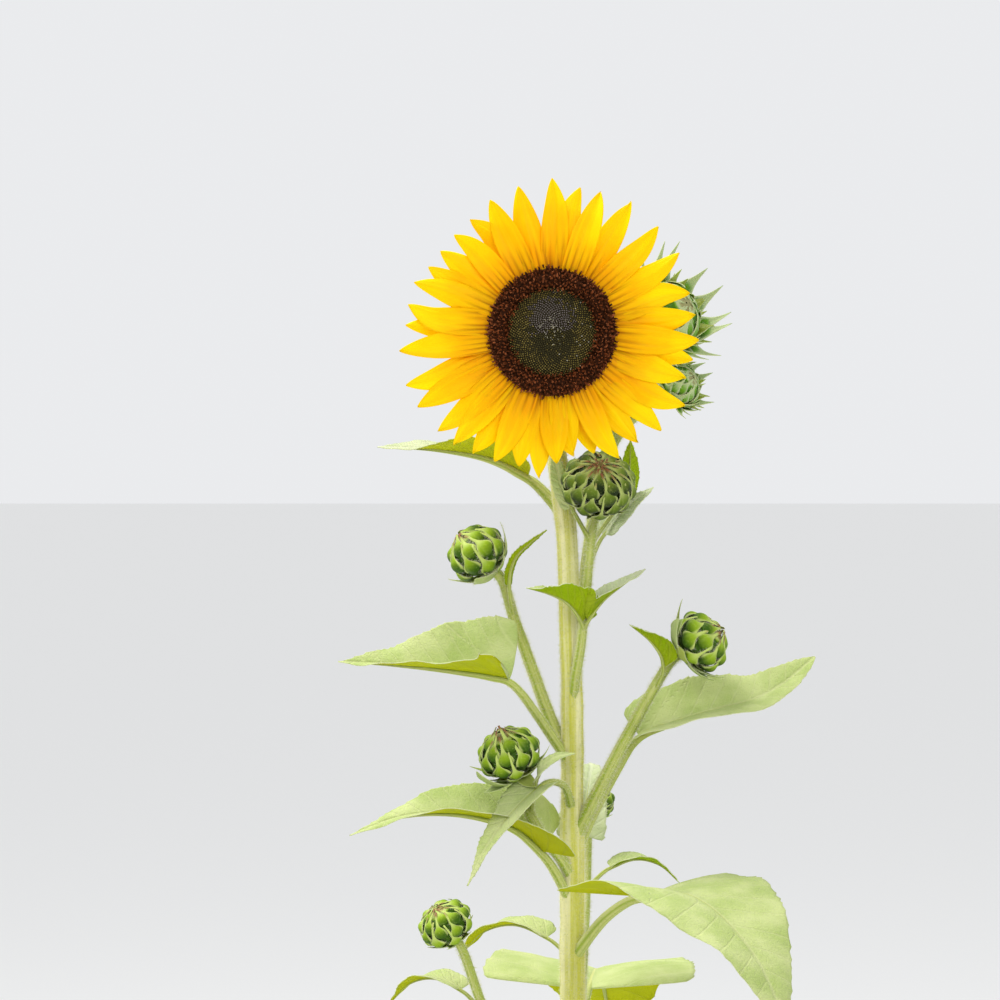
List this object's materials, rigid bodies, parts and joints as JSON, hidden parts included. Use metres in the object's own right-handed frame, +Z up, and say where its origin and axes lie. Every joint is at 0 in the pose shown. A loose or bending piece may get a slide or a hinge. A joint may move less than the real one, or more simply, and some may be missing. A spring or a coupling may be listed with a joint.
{
  "type": "sunflower plant",
  "caption": "Branching sunflower plant with an open yellow flower, round green buds on side stalks, and folded leaves on a straight stem that is cut flat at ground level.",
  "frame": {"origin": "middle of the flat cut under the stem, at ground level", "axes": "+Z up along the stem, the open flower faces -Y, +X to the right as seen from the front"},
  "size_m": [0.5177, 0.5057, 1.396],
  "materials": {
    "stem": "matte, finely haired",
    "leaf": "matte, finely haired",
    "bract": "matte",
    "ray": "satin",
    "disc_rim": "matte",
    "disc_centre": "matte"
  },
  "bodies": {
    "root": {"bud_back_high": "bract", "bud_back_low": "bract", "bud_centre": "bract", "bud_left": "bract", "bud_low": "bract", "bud_right": "bract", "disc_centre": "disc_centre", "disc_rim": "disc_rim", "flower_receptacle": "bract", "leaf_behind": "leaf", "leaf_bud_left": "leaf", "leaf_bud_low": "leaf", "leaf_bud_right": "leaf", "leaf_centre_back": "leaf", "leaf_centre_left": "leaf", "leaf_centre_right": "leaf", "leaf_left": "leaf", "leaf_low_front": "leaf", "leaf_low_left": "leaf", "leaf_pair_left": "leaf", "leaf_pair_right": "leaf", "leaf_right": "leaf", "leaf_top_left": "leaf", "lower_leaf_01": "leaf", "lower_leaf_02": "leaf", "lower_leaf_03": "leaf", "lower_leaf_04": "leaf", "lower_leaf_05": "leaf", "lower_leaf_06": "leaf", "lower_leaf_07": "leaf", "lower_leaf_08": "leaf", "lower_leaf_09": "leaf", "lower_leaf_10": "leaf", "main_stem": "stem", "ray_florets": "ray", "shoot_1": "stem", "shoot_1_bud": "bract", "shoot_1_leaf_1": "leaf", "shoot_1_leaf_2": "leaf", "shoot_2": "stem", "shoot_2_bud": "bract", "shoot_2_leaf_1": "leaf", "shoot_2_leaf_2": "leaf", "shoot_3": "stem", "shoot_3_bud": "bract", "shoot_3_leaf_1": "leaf", "shoot_3_leaf_2": "leaf", "shoot_4": "stem", "shoot_4_bud": "bract", "shoot_4_leaf_1": "leaf", "shoot_4_leaf_2": "leaf", "stalk_back": "stem", "stalk_back_low": "stem", "stalk_centre": "stem", "stalk_left": "stem", "stalk_low": "stem", "stalk_right": "stem"}
  },
  "joints": []
}
